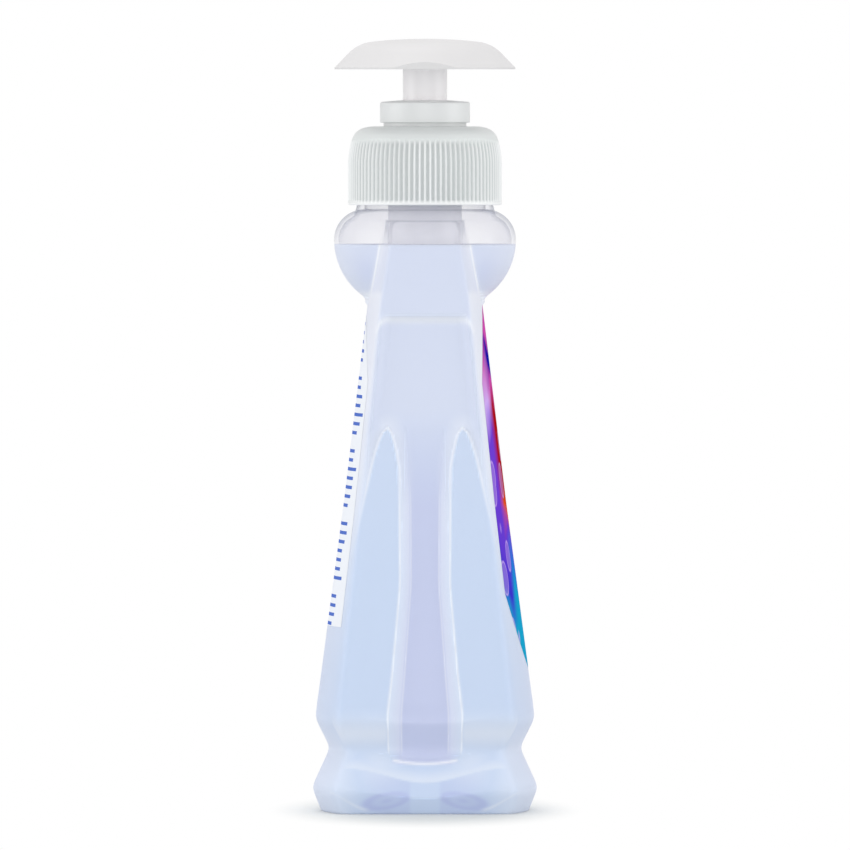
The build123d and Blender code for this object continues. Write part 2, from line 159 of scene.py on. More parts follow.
def ledge_brow(across):
    """Height of the ledge's brow: level in the middle, and falling by a quarter round at both ends."""
    turn = np.clip((across - LEDGE_HALF + LEDGE_ROUND) / LEDGE_ROUND, 0.0, 1.0)
    return LEDGE_Z - LEDGE_ROUND * (1.0 - np.sqrt(1.0 - turn**2))


def grip_depth(across, z, edge):
    """How far a narrow end is sunk: the deeper of a scoop round the pads, whose floor is a parabola in
    height, and the flute down the middle, which has straight sloping sides."""
    rise = z - SCOOP_MIDDLE_Z
    scoop = np.maximum(SCOOP_DEPTH + SCOOP_SLOPE * rise - SCOOP_BOW * rise**2, 0.0)
    scoop = scoop * np.clip(0.5 + (ledge_brow(across) - z) / LEDGE_RUN, 0.0, 1.0)
    scoop = scoop * np.clip(0.5 + pad_distance(across, z) / PAD_RUN, 0.0, 1.0)
    scoop = scoop * smooth(0.0, SCOOP_MARGIN, edge - across)
    mouth, floor = flute_half(z)
    bowed = z + FLUTE_END_BOW * smooth(FLUTE_END_HALF, 0.0, across)
    flute = soft_line(bowed, DEPTH_Z, FLUTE_DEPTH, DEPTH_SOFTNESS)
    flute = flute * np.clip((mouth - across) / (mouth - floor), 0.0, 1.0)
    return np.maximum(scoop, flute)


def thread_height(theta, z):
    """Height of the neck's thread: a ridge with sloping sides round a helix, tapered at both its ends."""
    turn = np.mod(theta, 2.0 * np.pi) / (2.0 * np.pi)
    rise = (z - THREAD_LOW) / THREAD_PITCH - turn
    lap = np.round(rise)
    ridge = np.clip(THREAD_CREST - np.abs(rise - lap) * THREAD_PITCH / THREAD_SIDE, 0.0, 1.0)
    along = lap + turn
    tapered = smooth(0.0, THREAD_TAPER, along) * smooth(THREAD_TURNS, THREAD_TURNS - THREAD_TAPER, along)
    return THREAD_HIGH * ridge * tapered


TINY = 1e-9
NO_BULB = 1.0


def bottle_points(theta, z, inset):
    """Points of the bottle's side. In plan it is two flat ends and two arched faces, met with a rounded
    corner by a power mean, and the larger of that body and the round bulb in the shoulder."""
    theta, z = np.meshgrid(theta, z)
    run = np.abs(np.cos(theta)) + TINY
    rise = np.abs(np.sin(theta)) + TINY
    reach = soft_line(z, FOOT_Z, FOOT_REACH, FOOT_SOFTNESS) - inset
    rounding = np.clip(z - (FIN_TOP - FIN_ROUND), 0.0, FIN_ROUND)
    ends = half_width_at(z) + reach - (FIN_ROUND - np.sqrt(FIN_ROUND**2 - rounding**2))
    depth = np.interp(z, PANEL_Z, PANEL_HALF_DEPTH) + reach
    bow = run**2 / PANEL_RADIUS
    to_face = 2.0 * depth / (np.sqrt(rise**2 + 2.0 * depth * bow) + rise)
    to_end = ends / run
    body = (to_face**-CORNER_POWER + to_end**-CORNER_POWER) ** (-1.0 / CORNER_POWER)
    below = np.sqrt(np.maximum((BULB_LOWER - inset) ** 2 - (BULB_Z - z) ** 2, 0.0)) - BULB_LOWER
    above = np.sqrt(np.maximum((BULB_UPPER - inset) ** 2 - (z - BULB_Z) ** 2, 0.0)) - BULB_UPPER
    bulb = BULB_RADIUS + np.where(z < BULB_Z, below, above)
    bulb = np.where(z < BULB_FOOT_Z, NO_BULB, np.maximum(bulb, NECK_RADIUS - inset))
    joined = (body**BULB_POWER + bulb**BULB_POWER) ** (1.0 / BULB_POWER)
    radius = np.where(z > FIN_TOP, bulb, joined)
    radius = radius + np.where(z > THREAD_FROM_Z, thread_height(theta, z), 0.0)
    x = radius * np.cos(theta)
    y = radius * np.sin(theta)
    edge = depth - ends**2 / (2.0 * PANEL_RADIUS)
    dipped = soft_line(z + foot_dip(np.abs(y)), FOOT_Z, FOOT_REACH, FOOT_SOFTNESS) - inset
    limit = ends + np.minimum(dipped - reach, 0.0) - grip_depth(np.abs(y), z, edge)
    x = np.sign(x) * np.where(z < GRIP_TOP_Z, np.minimum(np.abs(x), limit), np.abs(x))
    return np.stack([x, y, z], axis=-1)


END_REACH = math.radians(34.0)
PAD_LOW_Z = 52.0
SCOOP_LOW_Z = 84.0
LEDGE_LOW_Z = 100.0
GRIP_END_Z = 106.0
PLAIN_STEP = 2.0
PAD_STEP = 1.0
SCOOP_STEP = 1.8
LEDGE_STEP = 1.0


def ring_angles(fine, coarse):
    """Angles round the axis: even fine steps across the two narrow ends and even coarse ones on the broad
    sides."""
    across_end = np.linspace(-END_REACH, END_REACH, fine, endpoint=False)
    along_side = np.linspace(END_REACH, np.pi - END_REACH, coarse, endpoint=False)
    half = np.concatenate([across_end, along_side])
    return np.concatenate([half, half + np.pi])


def grip_heights(share):
    """Heights up the body: narrow steps round the pads and the ledge and wider ones between, each of them
    times a share."""
    stretches = [
        (HIP_Z, PAD_LOW_Z, PLAIN_STEP),
        (PAD_LOW_Z, SCOOP_LOW_Z, PAD_STEP),
        (SCOOP_LOW_Z, LEDGE_LOW_Z, SCOOP_STEP),
        (LEDGE_LOW_Z, GRIP_END_Z, LEDGE_STEP),
    ]
    return np.concatenate([np.arange(low, high, step * share) for low, high, step in stretches])


MERGE_DISTANCE = 1e-7
SHORTEST_EDGE = 1e-8


def surface(name, points, wrap=True):
    """Mesh object of a grid of points in millimetres: a quad between each four neighbours, smooth shaded.
    The columns close round where wrap is set, and points that coincide are merged."""
    rows, columns, _ = points.shape
    index = np.arange(rows * columns).reshape(rows, columns)
    if wrap:
        index = np.concatenate([index, index[:, :1]], axis=1)
    quads = np.stack([index[:-1, :-1], index[:-1, 1:], index[1:, 1:], index[1:, :-1]], axis=-1)
    quads = quads.reshape(-1, 4)
    mesh = bpy.data.meshes.new(name)
    mesh.vertices.add(rows * columns)
    mesh.vertices.foreach_set("co", (points * MM).astype(np.float32).ravel())
    mesh.loops.add(quads.size)
    mesh.loops.foreach_set("vertex_index", quads.astype(np.int32).ravel())
    mesh.polygons.add(len(quads))
    mesh.polygons.foreach_set("loop_start", np.arange(0, quads.size, 4, dtype=np.int32))
    mesh.update(calc_edges=True)
    merged = bmesh.new()
    merged.from_mesh(mesh)
    bmesh.ops.remove_doubles(merged, verts=merged.verts, dist=MERGE_DISTANCE)
    bmesh.ops.dissolve_degenerate(merged, edges=merged.edges, dist=SHORTEST_EDGE)
    merged.to_mesh(mesh)
    merged.free()
    mesh.polygons.foreach_set("use_smooth", np.ones(len(mesh.polygons), dtype=bool))
    mesh.update()
    piece = bpy.data.objects.new(name, mesh)
    bpy.context.scene.collection.objects.link(piece)
    return piece


def closing_rows(ring, z, steps):
    """Rows that draw a ring in to the axis at one height, by an even share of its reach in each step."""
    share = np.linspace(1.0, 0.0, steps + 1)[1:, None, None]
    rows = ring[None] * share
    rows[..., 2] = z
    return rows


def shoulder_heights(count, top):
    """Heights up the bulb: even steps of angle on its upper round, so that the rows stay close at its
    top."""
    angle = np.linspace(0.0, np.pi / 2.0, count)
    return BULB_Z + top * np.sin(angle)


FIN_STEP = 0.01
INSIDE_TOP_Z = 125.0
FOOT_ROWS = 52
GRIP_SHARE = 0.5
SHOULDER_ROWS = 24
BULB_ROWS = 20
NECK_ROWS = 40
END_COLUMNS = 92
SIDE_COLUMNS = 34
INNER_SKIP = 3
body_heights = np.concatenate(
    [
        np.linspace(0.0, HIP_Z, FOOT_ROWS, endpoint=False),
        grip_heights(GRIP_SHARE),
        np.linspace(GRIP_END_Z, BULB_Z, SHOULDER_ROWS, endpoint=False),
        shoulder_heights(BULB_ROWS, BULB_UPPER),
        [FIN_TOP - FIN_STEP, FIN_TOP + FIN_STEP],
        np.linspace(NECK_LOW, MOUTH_Z, NECK_ROWS),
    ]
)
body_heights = np.sort(body_heights)
outer_angles = ring_angles(END_COLUMNS, SIDE_COLUMNS)
outer_wall = bottle_points(outer_angles, body_heights, 0.0)
neck_inside = outer_wall[-1:] * [NECK_BORE / NECK_RADIUS, NECK_BORE / NECK_RADIUS, 1.0]
inner_heights = body_heights[(body_heights > BASE_WALL) & (body_heights < INSIDE_TOP_Z)][::-INNER_SKIP]
inner_wall = bottle_points(outer_angles, inner_heights, WALL)
PUSH_UP = 2.4
BASE_SHARES = np.array([0.0, 0.3, 0.62, 0.68, 0.76, 0.86, 1.0])
BASE_RISE = PUSH_UP * np.array([1.0, 1.0, 1.0, 0.9, 0.4, 0.0, 0.0])
FLOOR_RISE = PUSH_UP * np.array([0.6, 1.0, 1.0, 1.0])
base = outer_wall[:1] * BASE_SHARES[:, None, None]
base[..., 2] = BASE_RISE[:, None]
floor_inside = closing_rows(inner_wall[-1], BASE_WALL, len(FLOOR_RISE))
floor_inside[..., 2] += FLOOR_RISE[:, None]
bottle = surface(
    "clear_bottle",
    np.concatenate([base[:-1], outer_wall, neck_inside, inner_wall, floor_inside]),
)


def finish(name, color, roughness, **sockets):
    """Material with one Principled shader: a colour, a roughness and any other sockets by name."""
    material = bpy.data.materials.new(name)
    material.use_nodes = True
    shader = material.node_tree.nodes["Principled BSDF"]
    shader.inputs["Base Color"].default_value = (*color, 1.0)
    shader.inputs["Roughness"].default_value = roughness
    for socket, value in sockets.items():
        shader.inputs[socket.replace("_", " ")].default_value = value
    return material


def linked(tree, node_type, inputs, **settings):
    """Adds a shader node, sets its properties and links or sets its inputs by name or number."""
    node = tree.nodes.new(node_type)
    for key, value in settings.items():
        setattr(node, key, value)
    for key, value in inputs.items():
        if isinstance(value, bpy.types.NodeSocket):
            tree.links.new(value, node.inputs[key])
        else:
            node.inputs[key].default_value = value
    return node


# A Mix node's colour sockets go by number, because its sockets for other data have the same names.
MIX_FACTOR = 0
MIX_FIRST = 6
MIX_SECOND = 7
MIX_RESULT = 2


def blended(tree, factor, first, second):
    """Colour mixed from two colours or colour sockets by a factor."""
    inputs = {MIX_FACTOR: factor}
    for number, color in ((MIX_FIRST, first), (MIX_SECOND, second)):
        inputs[number] = color if isinstance(color, bpy.types.NodeSocket) else (*color, 1.0)
    return linked(tree, "ShaderNodeMix", inputs, data_type="RGBA").outputs[MIX_RESULT]


def ranged(tree, value, low, high, to_low=0.0, to_high=1.0):
    """Value mapped from one range onto another and held at its ends."""
    inputs = {"Value": value, "From Min": low, "From Max": high, "To Min": to_low, "To Max": to_high}
    return linked(tree, "ShaderNodeMapRange", inputs).outputs["Result"]


def worked(tree, operation, *values):
    """Value of a sum done by a Math node on values or value sockets."""
    return linked(tree, "ShaderNodeMath", dict(enumerate(values)), operation=operation).outputs["Value"]


WALL_CLEAR = (0.74, 0.73, 0.83)
WALL_EDGE_SHADE = (0.18, 0.22, 0.33)
WALL_HAZE = (0.09, 0.24)
EDGE_HAZE = 0.42
EMPTY_HEIGHTS = (0.1185, 0.1225)
WALL_ROUGHNESS = 0.12
EVEN_BLEND = 0.5
OUTLINE_FACING = (0.66, 0.94)
HAZE_FACING = (0.1, 0.95)
clear_plastic = finish("clear_plastic", WALL_CLEAR, WALL_ROUGHNESS)
tree = clear_plastic.node_tree
wall = tree.nodes["Principled BSDF"].inputs
edge_on = linked(tree, "ShaderNodeLayerWeight", {"Blend": EVEN_BLEND}).outputs["Facing"]
place = linked(tree, "ShaderNodeTexCoord", {}).outputs["Object"]
wall_height = linked(tree, "ShaderNodeSeparateXYZ", {"Vector": place}).outputs["Z"]
empty_part = ranged(tree, wall_height, *EMPTY_HEIGHTS)
# Where the wall above the soap is seen edge-on, its colour darkens towards a blue-grey: painted shade along
# the clear wall's outline.
outline = worked(tree, "MULTIPLY", ranged(tree, edge_on, *OUTLINE_FACING), empty_part)
haze = ranged(tree, edge_on, *HAZE_FACING, *WALL_HAZE)
tree.links.new(worked(tree, "MULTIPLY_ADD", outline, EDGE_HAZE, haze), wall["Alpha"])
tree.links.new(blended(tree, outline, WALL_CLEAR, WALL_EDGE_SHADE), wall["Base Color"])
bottle.data.materials.append(clear_plastic)
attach(bottle, "bottle")
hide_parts("bottle")

# The soap: a clear pale blue liquid that fills the bottle up into its shoulder.
# It lies against the wall, so its surface is drawn just inside the plastic.
# Its level is flat, and the pump stands in it.
SOAP_INSET = 0.025
SOAP_LOW = 0.08
FILL_Z = 118.9
SOAP_FOOT_ROWS = 64
SOAP_GRIP_SHARE = 0.35
SOAP_TOP_ROWS = 20
SOAP_END_COLUMNS = 128
SOAP_SIDE_COLUMNS = 42
soap_heights = np.concatenate(
    [
        np.linspace(SOAP_LOW, HIP_Z, SOAP_FOOT_ROWS, endpoint=False),
        grip_heights(SOAP_GRIP_SHARE),
        np.linspace(GRIP_END_Z, FILL_Z, SOAP_TOP_ROWS),
    ]
)
soap_angles = ring_angles(SOAP_END_COLUMNS, SOAP_SIDE_COLUMNS)
soap_side = bottle_points(soap_angles, soap_heights, SOAP_INSET)
soap_floor = soap_side[:1] * BASE_SHARES[:-1, None, None]
soap_floor[..., 2] = soap_heights[0] + BASE_RISE[:-1, None]


def well_rows(profile):
    """Rings round the axis at (radius, height) points."""
    radius, height = np.array(profile)[:, :, None].transpose(1, 0, 2)
    x = radius * np.cos(soap_angles)
    y = radius * np.sin(soap_angles)
    return np.stack([x, y, np.broadcast_to(height, x.shape)], axis=-1)


BARREL_WELL = 7.82
SOCKET_WELL = 4.6
TUBE_WELL = 3.08
WELL_LIP = 0.1
BARREL_FOOT_Z = 90.0
SOCKET_FOOT_Z = 81.5
TUBE_FOOT_Z = 7.5
pump_well = well_rows(
    [
        (BARREL_WELL + WELL_LIP, FILL_Z),
        (BARREL_WELL, FILL_Z),
        (BARREL_WELL, BARREL_FOOT_Z),
        (SOCKET_WELL, BARREL_FOOT_Z),
        (SOCKET_WELL, SOCKET_FOOT_Z),
        (TUBE_WELL, SOCKET_FOOT_Z),
        (TUBE_WELL, TUBE_FOOT_Z),
        (0.0, TUBE_FOOT_Z),
    ]
)
LEVEL_SHARES = [0.02, 0.5]
level_share = np.array(LEVEL_SHARES)[:, None, None]
soap_level = soap_side[-1:] * (1.0 - level_share) + pump_well[:1] * level_share
soap = surface("soap_filling", np.concatenate([soap_floor, soap_side, soap_level, pump_well]))


def paint(piece, name, value_at):
    """Stores a value at each vertex, worked out from its place in millimetres."""
    places = np.empty(len(piece.data.vertices) * 3, dtype=np.float32)
    piece.data.vertices.foreach_get("co", places)
    x, y, z = places.reshape(-1, 3).T / MM
    layer = piece.data.attributes.new(name, "FLOAT", "POINT")
    layer.data.foreach_set("value", value_at(x, y, z).astype(np.float32))


def pad_gap(x, y, z):
    """Distance outside the pads' outline in millimetres, less than nil on a pad."""
    return pad_distance(np.abs(y), z)


def flute_share(x, y, z):
    """Place across the flute's sloping side: nil at its mouth and 1 on its floor, carried on past both."""
    mouth, floor = flute_half(z)
    return np.clip((mouth - np.abs(y)) / (mouth - floor), -1.0, 2.0)


FAR_INSIDE = 6.0


def fin_gap(x, y, z):
    """Distance outside the broad panels' outline in millimetres, held at far inside it near the axis."""
    gap = np.abs(y) - np.interp(z, PANEL_Z, PANEL_HALF_DEPTH)
    return np.where(np.abs(x) > FAR_INSIDE, np.clip(gap, -FAR_INSIDE, FAR_INSIDE), -FAR_INSIDE)


def bell(offset, width):
    """Bell curve: 1 in the middle, falling as e to the minus square of the offset over the width."""
    return np.exp(-((offset / width) ** 2))


END_BAND = (4.5, 3.0)


def on_narrow_end(x, z):
    """Mask of the narrow ends: a smooth step from 1 near an end's face to 0 further in."""
    return smooth(*END_BAND, half_width_at(z) - np.abs(x))


LEDGE_GLINT = 0.65
LEDGE_GLINT_DROP = 0.3
LEDGE_GLINT_WIDTH = 0.8
LEDGE_GLINT_SIDES = (LEDGE_HALF + 0.8, LEDGE_HALF)
FLUTE_GLINT = 0.9
FLUTE_GLINT_Z = 10.5
FLUTE_GLINT_CURVE = 0.017
FLUTE_GLINT_WIDTH = 0.32
FLUTE_GLINT_SIDES = (7.2, 6.4)
FOOT_GLINT = 0.42
FOOT_GLINT_Z = 9.6
FOOT_GLINT_START = (-0.35, 0.1)
FOOT_GLINT_FADE = (3.2, 0.0)
FOOT_GLINT_SIDES = (21.0, 15.0)
CORNER_GLINT = 0.45
CORNER_GLINT_Z = 0.9
CORNER_GLINT_RISE = 4.0
CORNER_GLINT_RUN = (11.5, 21.5)
CORNER_GLINT_WIDTH = 0.4
CORNER_GLINT_SIDES = (11.0, 13.0)
SHEEN = 0.3
SHEEN_ACROSS = 9.5
SHEEN_Z = 10.0
SHEEN_WIDTH = 4.5
SHEEN_HEIGHT = 4.0
WAIST_GLINT = 0.5
WAIST_GLINT_Z = 16.8
WAIST_GLINT_WIDTH = 3.0
WAIST_GLINT_SIDES = (7.0, 8.5)
SIDE_GLINT = 0.28
SIDE_GLINT_ACROSS = (12.0, 18.0)
SIDE_GLINT_Z = (22.0, 12.0)


def glint_share(x, y, z):
    """Mask of painted highlights on a narrow end: bells about the ledge's brow, the flute's lower
    end, the waist, the base's curved corners and the foot's two halves, a step that fades upward from the
    foot's wavy edge, and another out to the foot's sides."""
    across = np.abs(y)
    over_ledge = z - ledge_brow(across) + LEDGE_GLINT_DROP
    ledge = LEDGE_GLINT * bell(over_ledge, LEDGE_GLINT_WIDTH) * smooth(*LEDGE_GLINT_SIDES, across)
    over_flute = z - FLUTE_GLINT_Z - FLUTE_GLINT_CURVE * across**2
    flute_end = FLUTE_GLINT * bell(over_flute, FLUTE_GLINT_WIDTH) * smooth(*FLUTE_GLINT_SIDES, across)
    over_wave = z - FOOT_GLINT_Z + foot_dip(across)
    foot_edge = FOOT_GLINT * smooth(*FOOT_GLINT_START, over_wave) * smooth(*FOOT_GLINT_FADE, over_wave)
    foot_edge = foot_edge * smooth(*FOOT_GLINT_SIDES, across)
    over_corner = z - (CORNER_GLINT_Z + CORNER_GLINT_RISE * smooth(*CORNER_GLINT_RUN, across))
    corner = CORNER_GLINT * bell(over_corner, CORNER_GLINT_WIDTH) * smooth(*CORNER_GLINT_SIDES, across)
    sheen = SHEEN * bell(across - SHEEN_ACROSS, SHEEN_WIDTH) * bell(z - SHEEN_Z, SHEEN_HEIGHT)
    waist = WAIST_GLINT * bell(z - WAIST_GLINT_Z, WAIST_GLINT_WIDTH) * smooth(*WAIST_GLINT_SIDES, across)
    foot_side = SIDE_GLINT * smooth(*SIDE_GLINT_ACROSS, across) * smooth(*SIDE_GLINT_Z, z)
    turns = np.maximum.reduce([ledge, flute_end, foot_edge, corner, sheen, waist])
    return np.maximum(turns * on_narrow_end(x, z), foot_side)


RING_Z = 4.2
RING_TILT = 0.17
RING_MIDDLE = 8.0
RING_HALF_WIDTH = 5.8
RING_HALF_HEIGHT = 2.1
RING_EDGE = (1.25, 0.55)
RING_TONE = 0.78
RING_SWING = 0.22
RING_TURNS = 9.0
FOOT_SHADE = 0.4
FOOT_SHADE_Z = (9.7, 9.1)
FOOT_SHADE_SIDES = (14.0, 8.0)
PALE_BAND = (2.6, 3.6)
BULB_SHADE = 0.32
BULB_SHADE_ACROSS = 10.5
BULB_SHADE_LEAN = 0.35
BULB_SHADE_LOW_Z = 108.0
BULB_SHADE_Z = 112.5
BULB_SHADE_WIDTH = 2.6
BULB_SHADE_HEIGHT = 3.6
BULB_SHADE_REACH = 20.0


def shade_share(x, y, z):
    """Mask of painted shade in the soap: on a narrow end a ringed ellipse as of the hollow base seen through
    it, on both sides of a pale middle band, and in the bulb a leaning bell of shade beside the fin."""
    across = np.abs(y)
    tilted = z - RING_Z + RING_TILT * across
    spread = ((across - RING_MIDDLE) / RING_HALF_WIDTH) ** 2 + (tilted / RING_HALF_HEIGHT) ** 2
    rings = RING_TONE + RING_SWING * np.cos(RING_TURNS * np.sqrt(spread))
    foot = FOOT_SHADE * smooth(*FOOT_SHADE_Z, z + foot_dip(across)) * smooth(*FOOT_SHADE_SIDES, across)
    mask = np.maximum(smooth(*RING_EDGE, spread) * rings, foot) * smooth(*PALE_BAND, across)
    beside = across - BULB_SHADE_ACROSS - BULB_SHADE_LEAN * (z - BULB_SHADE_LOW_Z)
    shade = BULB_SHADE * bell(beside, BULB_SHADE_WIDTH) * bell(z - BULB_SHADE_Z, BULB_SHADE_HEIGHT)
    return np.maximum(mask * on_narrow_end(x, z), shade * (np.abs(x) < BULB_SHADE_REACH))


paint(soap, "pad", pad_gap)
paint(soap, "flute", flute_share)
paint(soap, "fin", fin_gap)
paint(soap, "glint", glint_share)
# The base mask is painted shade, which darkens the soap towards a deeper blue.
paint(soap, "base", shade_share)
SOAP_BLUE = (0.605, 0.715, 0.895)
SOAP_VIOLET = (0.6, 0.65, 0.86)
SOAP_PALE = (0.69, 0.745, 0.885)
SOAP_SHADE = (0.48, 0.55, 0.82)
SOAP_HIGHLIGHT = (0.95, 0.97, 1.0)
SOAP_RIM_SHEEN = (0.72, 0.73, 0.85)
PALE_HEIGHTS = (0.05, 0.085)
FLUTE_LOW = (0.0102, 0.0108)
FLUTE_HIGH = (0.064, 0.084)
FLUTE_LINE_LOW = (0.0118, 0.0136)
FLUTE_LINE_HIGH = (0.064, 0.078)
PAD_LINE_LOW = (0.054, 0.07)
FIN_LINE_LOW = (0.104, 0.108)
BULB_LOW = (0.1085, 0.1095)
EDGE_HEIGHTS = (0.03, 0.09)
EDGE_FACING = (0.15, 0.8)
EDGE_LIGHT = 0.7
BULB_LIGHT = 0.35
RIM_FACING = (0.75, 1.0)
RIM_TONE = 0.5
SHADE_TONE = 0.85
FLUTE_TONE = (0.1, 1.0)
# Lines and glows are painted highlights on the pads, flute and fin, save the pale glow, which only shifts
# the soap's tone.
# A line has its middle, half width and strength. A glow has the values and shares that it runs between.
PAD_LINE = (0.15, 0.6, 0.62)
PAD_PALE_GLOW = (-0.2, 0.6, 0.25, 1.0)
PAD_INNER_GLOW = (-0.2, 0.3, 0.0, 0.3)
PAD_OUTER_GLOW = (0.3, 3.4, 0.3, 0.0)
FLUTE_MOUTH_LINE = (0.0, 0.22, 0.72)
FLUTE_FLOOR_LINE = (1.0, 0.14, 0.42)
FLUTE_MOUTH_GLOW = (-0.05, 0.12, 0.0, 0.36)
FLUTE_FLOOR_GLOW = (0.8, 1.08, 0.36, 0.0)
FIN_LINE = (-0.45, 0.42, 1.0)
FIN_SOFT_LINE = (-1.0, 1.3, 0.45)
SOAP_ROUGHNESS = 0.4
pale_soap = finish("pale_soap", SOAP_BLUE, SOAP_ROUGHNESS, Specular_IOR_Level=0.0)
tree = pale_soap.node_tree


def line_at(tree, value, middle, half_width, strength):
    """Line where a value passes a middle one: full there and falling evenly to nothing at the half
    width."""
    off = worked(tree, "ABSOLUTE", worked(tree, "SUBTRACT", value, middle))
    return ranged(tree, off, 0.0, half_width, strength, 0.0)


pad_value, flute_value, fin_value, glint_value, shade_value = (
    linked(tree, "ShaderNodeAttribute", {}, attribute_name=name).outputs["Fac"]
    for name in ("pad", "flute", "fin", "glint", "base")
)
place = linked(tree, "ShaderNodeTexCoord", {}).outputs["Object"]
soap_height = linked(tree, "ShaderNodeSeparateXYZ", {"Vector": place}).outputs["Z"]
side_on = linked(tree, "ShaderNodeLayerWeight", {"Blend": EVEN_BLEND}).outputs["Facing"]
pale_share = worked(
    tree,
    "MULTIPLY",
    ranged(tree, soap_height, *PALE_HEIGHTS),
    ranged(tree, pad_value, *PAD_PALE_GLOW),
)
hue = blended(tree, pale_share, SOAP_BLUE, SOAP_PALE)
flute_tall = worked(
    tree,
    "MULTIPLY",
    ranged(tree, soap_height, *FLUTE_HIGH, 1.0, 0.0),
    ranged(tree, soap_height, *FLUTE_LOW),
)
flute_floor = worked(tree, "MULTIPLY", ranged(tree, flute_value, *FLUTE_TONE), flute_tall)
hue = blended(tree, flute_floor, hue, SOAP_VIOLET)
hue = blended(tree, ranged(tree, shade_value, 0.0, 1.0, 0.0, SHADE_TONE), hue, SOAP_SHADE)
pad_highlight = worked(
    tree,
    "MAXIMUM",
    line_at(tree, pad_value, *PAD_LINE),
    worked(
        tree,
        "MINIMUM",
        ranged(tree, pad_value, *PAD_INNER_GLOW),
        ranged(tree, pad_value, *PAD_OUTER_GLOW),
    ),
)
pad_highlight = worked(tree, "MULTIPLY", pad_highlight, ranged(tree, soap_height, *PAD_LINE_LOW))
flute_side = worked(
    tree,
    "MINIMUM",
    ranged(tree, flute_value, *FLUTE_MOUTH_GLOW),
    ranged(tree, flute_value, *FLUTE_FLOOR_GLOW),
)
flute_highlight = worked(
    tree,
    "MAXIMUM",
    line_at(tree, flute_value, *FLUTE_MOUTH_LINE),
    line_at(tree, flute_value, *FLUTE_FLOOR_LINE),
)
flute_highlight = worked(tree, "MAXIMUM", flute_highlight, flute_side)
flute_highlight = worked(tree, "MULTIPLY", flute_highlight, ranged(tree, soap_height, *FLUTE_LINE_HIGH, 1.0, 0.0))
flute_highlight = worked(tree, "MULTIPLY", flute_highlight, ranged(tree, soap_height, *FLUTE_LINE_LOW))
fin_highlight = worked(
    tree,
    "MAXIMUM",
    line_at(tree, fin_value, *FIN_LINE),
    line_at(tree, fin_value, *FIN_SOFT_LINE),
)
fin_highlight = worked(tree, "MULTIPLY", fin_highlight, ranged(tree, soap_height, *FIN_LINE_LOW))
# The lines and the glint mask are painted highlights, which lift the soap's colour towards near-white.
bright = worked(tree, "MAXIMUM", worked(tree, "MAXIMUM", pad_highlight, flute_highlight), glint_value)
bright = worked(tree, "MAXIMUM", bright, fin_highlight)
hue = blended(tree, bright, hue, SOAP_HIGHLIGHT)
# Where the soap is seen edge-on, its colour is lifted towards near-white and then towards a pale
# grey-violet: a painted sheen.
edge_sheen = worked(
    tree,
    "MULTIPLY",
    ranged(tree, side_on, *EDGE_FACING),
    ranged(tree, soap_height, *EDGE_HEIGHTS, 0.0, EDGE_LIGHT),
)
edge_sheen = worked(tree, "MULTIPLY", edge_sheen, ranged(tree, soap_height, *BULB_LOW, 1.0, BULB_LIGHT))
hue = blended(tree, edge_sheen, hue, SOAP_HIGHLIGHT)
hue = blended(tree, ranged(tree, side_on, *RIM_FACING, 0.0, RIM_TONE), hue, SOAP_RIM_SHEEN)
tree.links.new(hue, tree.nodes["Principled BSDF"].inputs["Base Color"])
soap.data.materials.append(pale_soap)
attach(soap, "bottle")
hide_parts("liquid_soap")


# The labels: thin printed films stuck to the broad panels, a little in from the edges.
# The front one has soft fields of colour, and the back one is white with plain bars.
LABEL_MARGIN = 4.6
LABEL_LIFT = 0.008
LABEL_SIDE_HIGH = 90.0
FRONT_EDGES = (46.0, 30.0, 106.6)
BACK_EDGES = (39.0, 39.0, 104.0)


def label_points(across, up, low_edge, low_middle, high_middle):
    """Points of a film on the front panel: a share across and a share up between an arched top edge and a
    bottom edge that drops from low_edge at its ends to low_middle, laid on the panel's arched face."""
    across, up = np.meshgrid(across, up)
    arch = 1.0 - across**2
    low = low_edge + (low_middle - low_edge) * arch
    high = LABEL_SIDE_HIGH + (high_middle - LABEL_SIDE_HIGH) * arch
    z = low + (high - low) * up
    x = across * (half_width_at(z) - LABEL_MARGIN)
    y = np.interp(z, PANEL_Z, PANEL_HALF_DEPTH) - x**2 / (2.0 * PANEL_RADIUS) + LABEL_LIFT
    return np.stack([x, -y, z], axis=-1)


LABEL_COLUMNS = 61
LABEL_ROWS = 81
label_across = np.linspace(-1.0, 1.0, LABEL_COLUMNS)
label_up = np.linspace(0.0, 1.0, LABEL_ROWS)
front_label = surface("front_film", label_points(label_across, label_up, *FRONT_EDGES), wrap=False)
back_points = label_points(-label_across, label_up, *BACK_EDGES) * [1.0, -1.0, 1.0]
back_label = surface("back_film", back_points, wrap=False)


def ramp(tree, factor, stops):
    """Colour ramp through (place, colour) stops, driven by a value."""
    node = linked(tree, "ShaderNodeValToRGB", {"Fac": factor})
    elements = node.color_ramp.elements
    while len(elements) < len(stops):
        elements.new(0.5)
    for element, (place, color) in zip(elements, stops):
        element.position = place
        element.color = (*color, 1.0)
    return node.outputs["Color"]


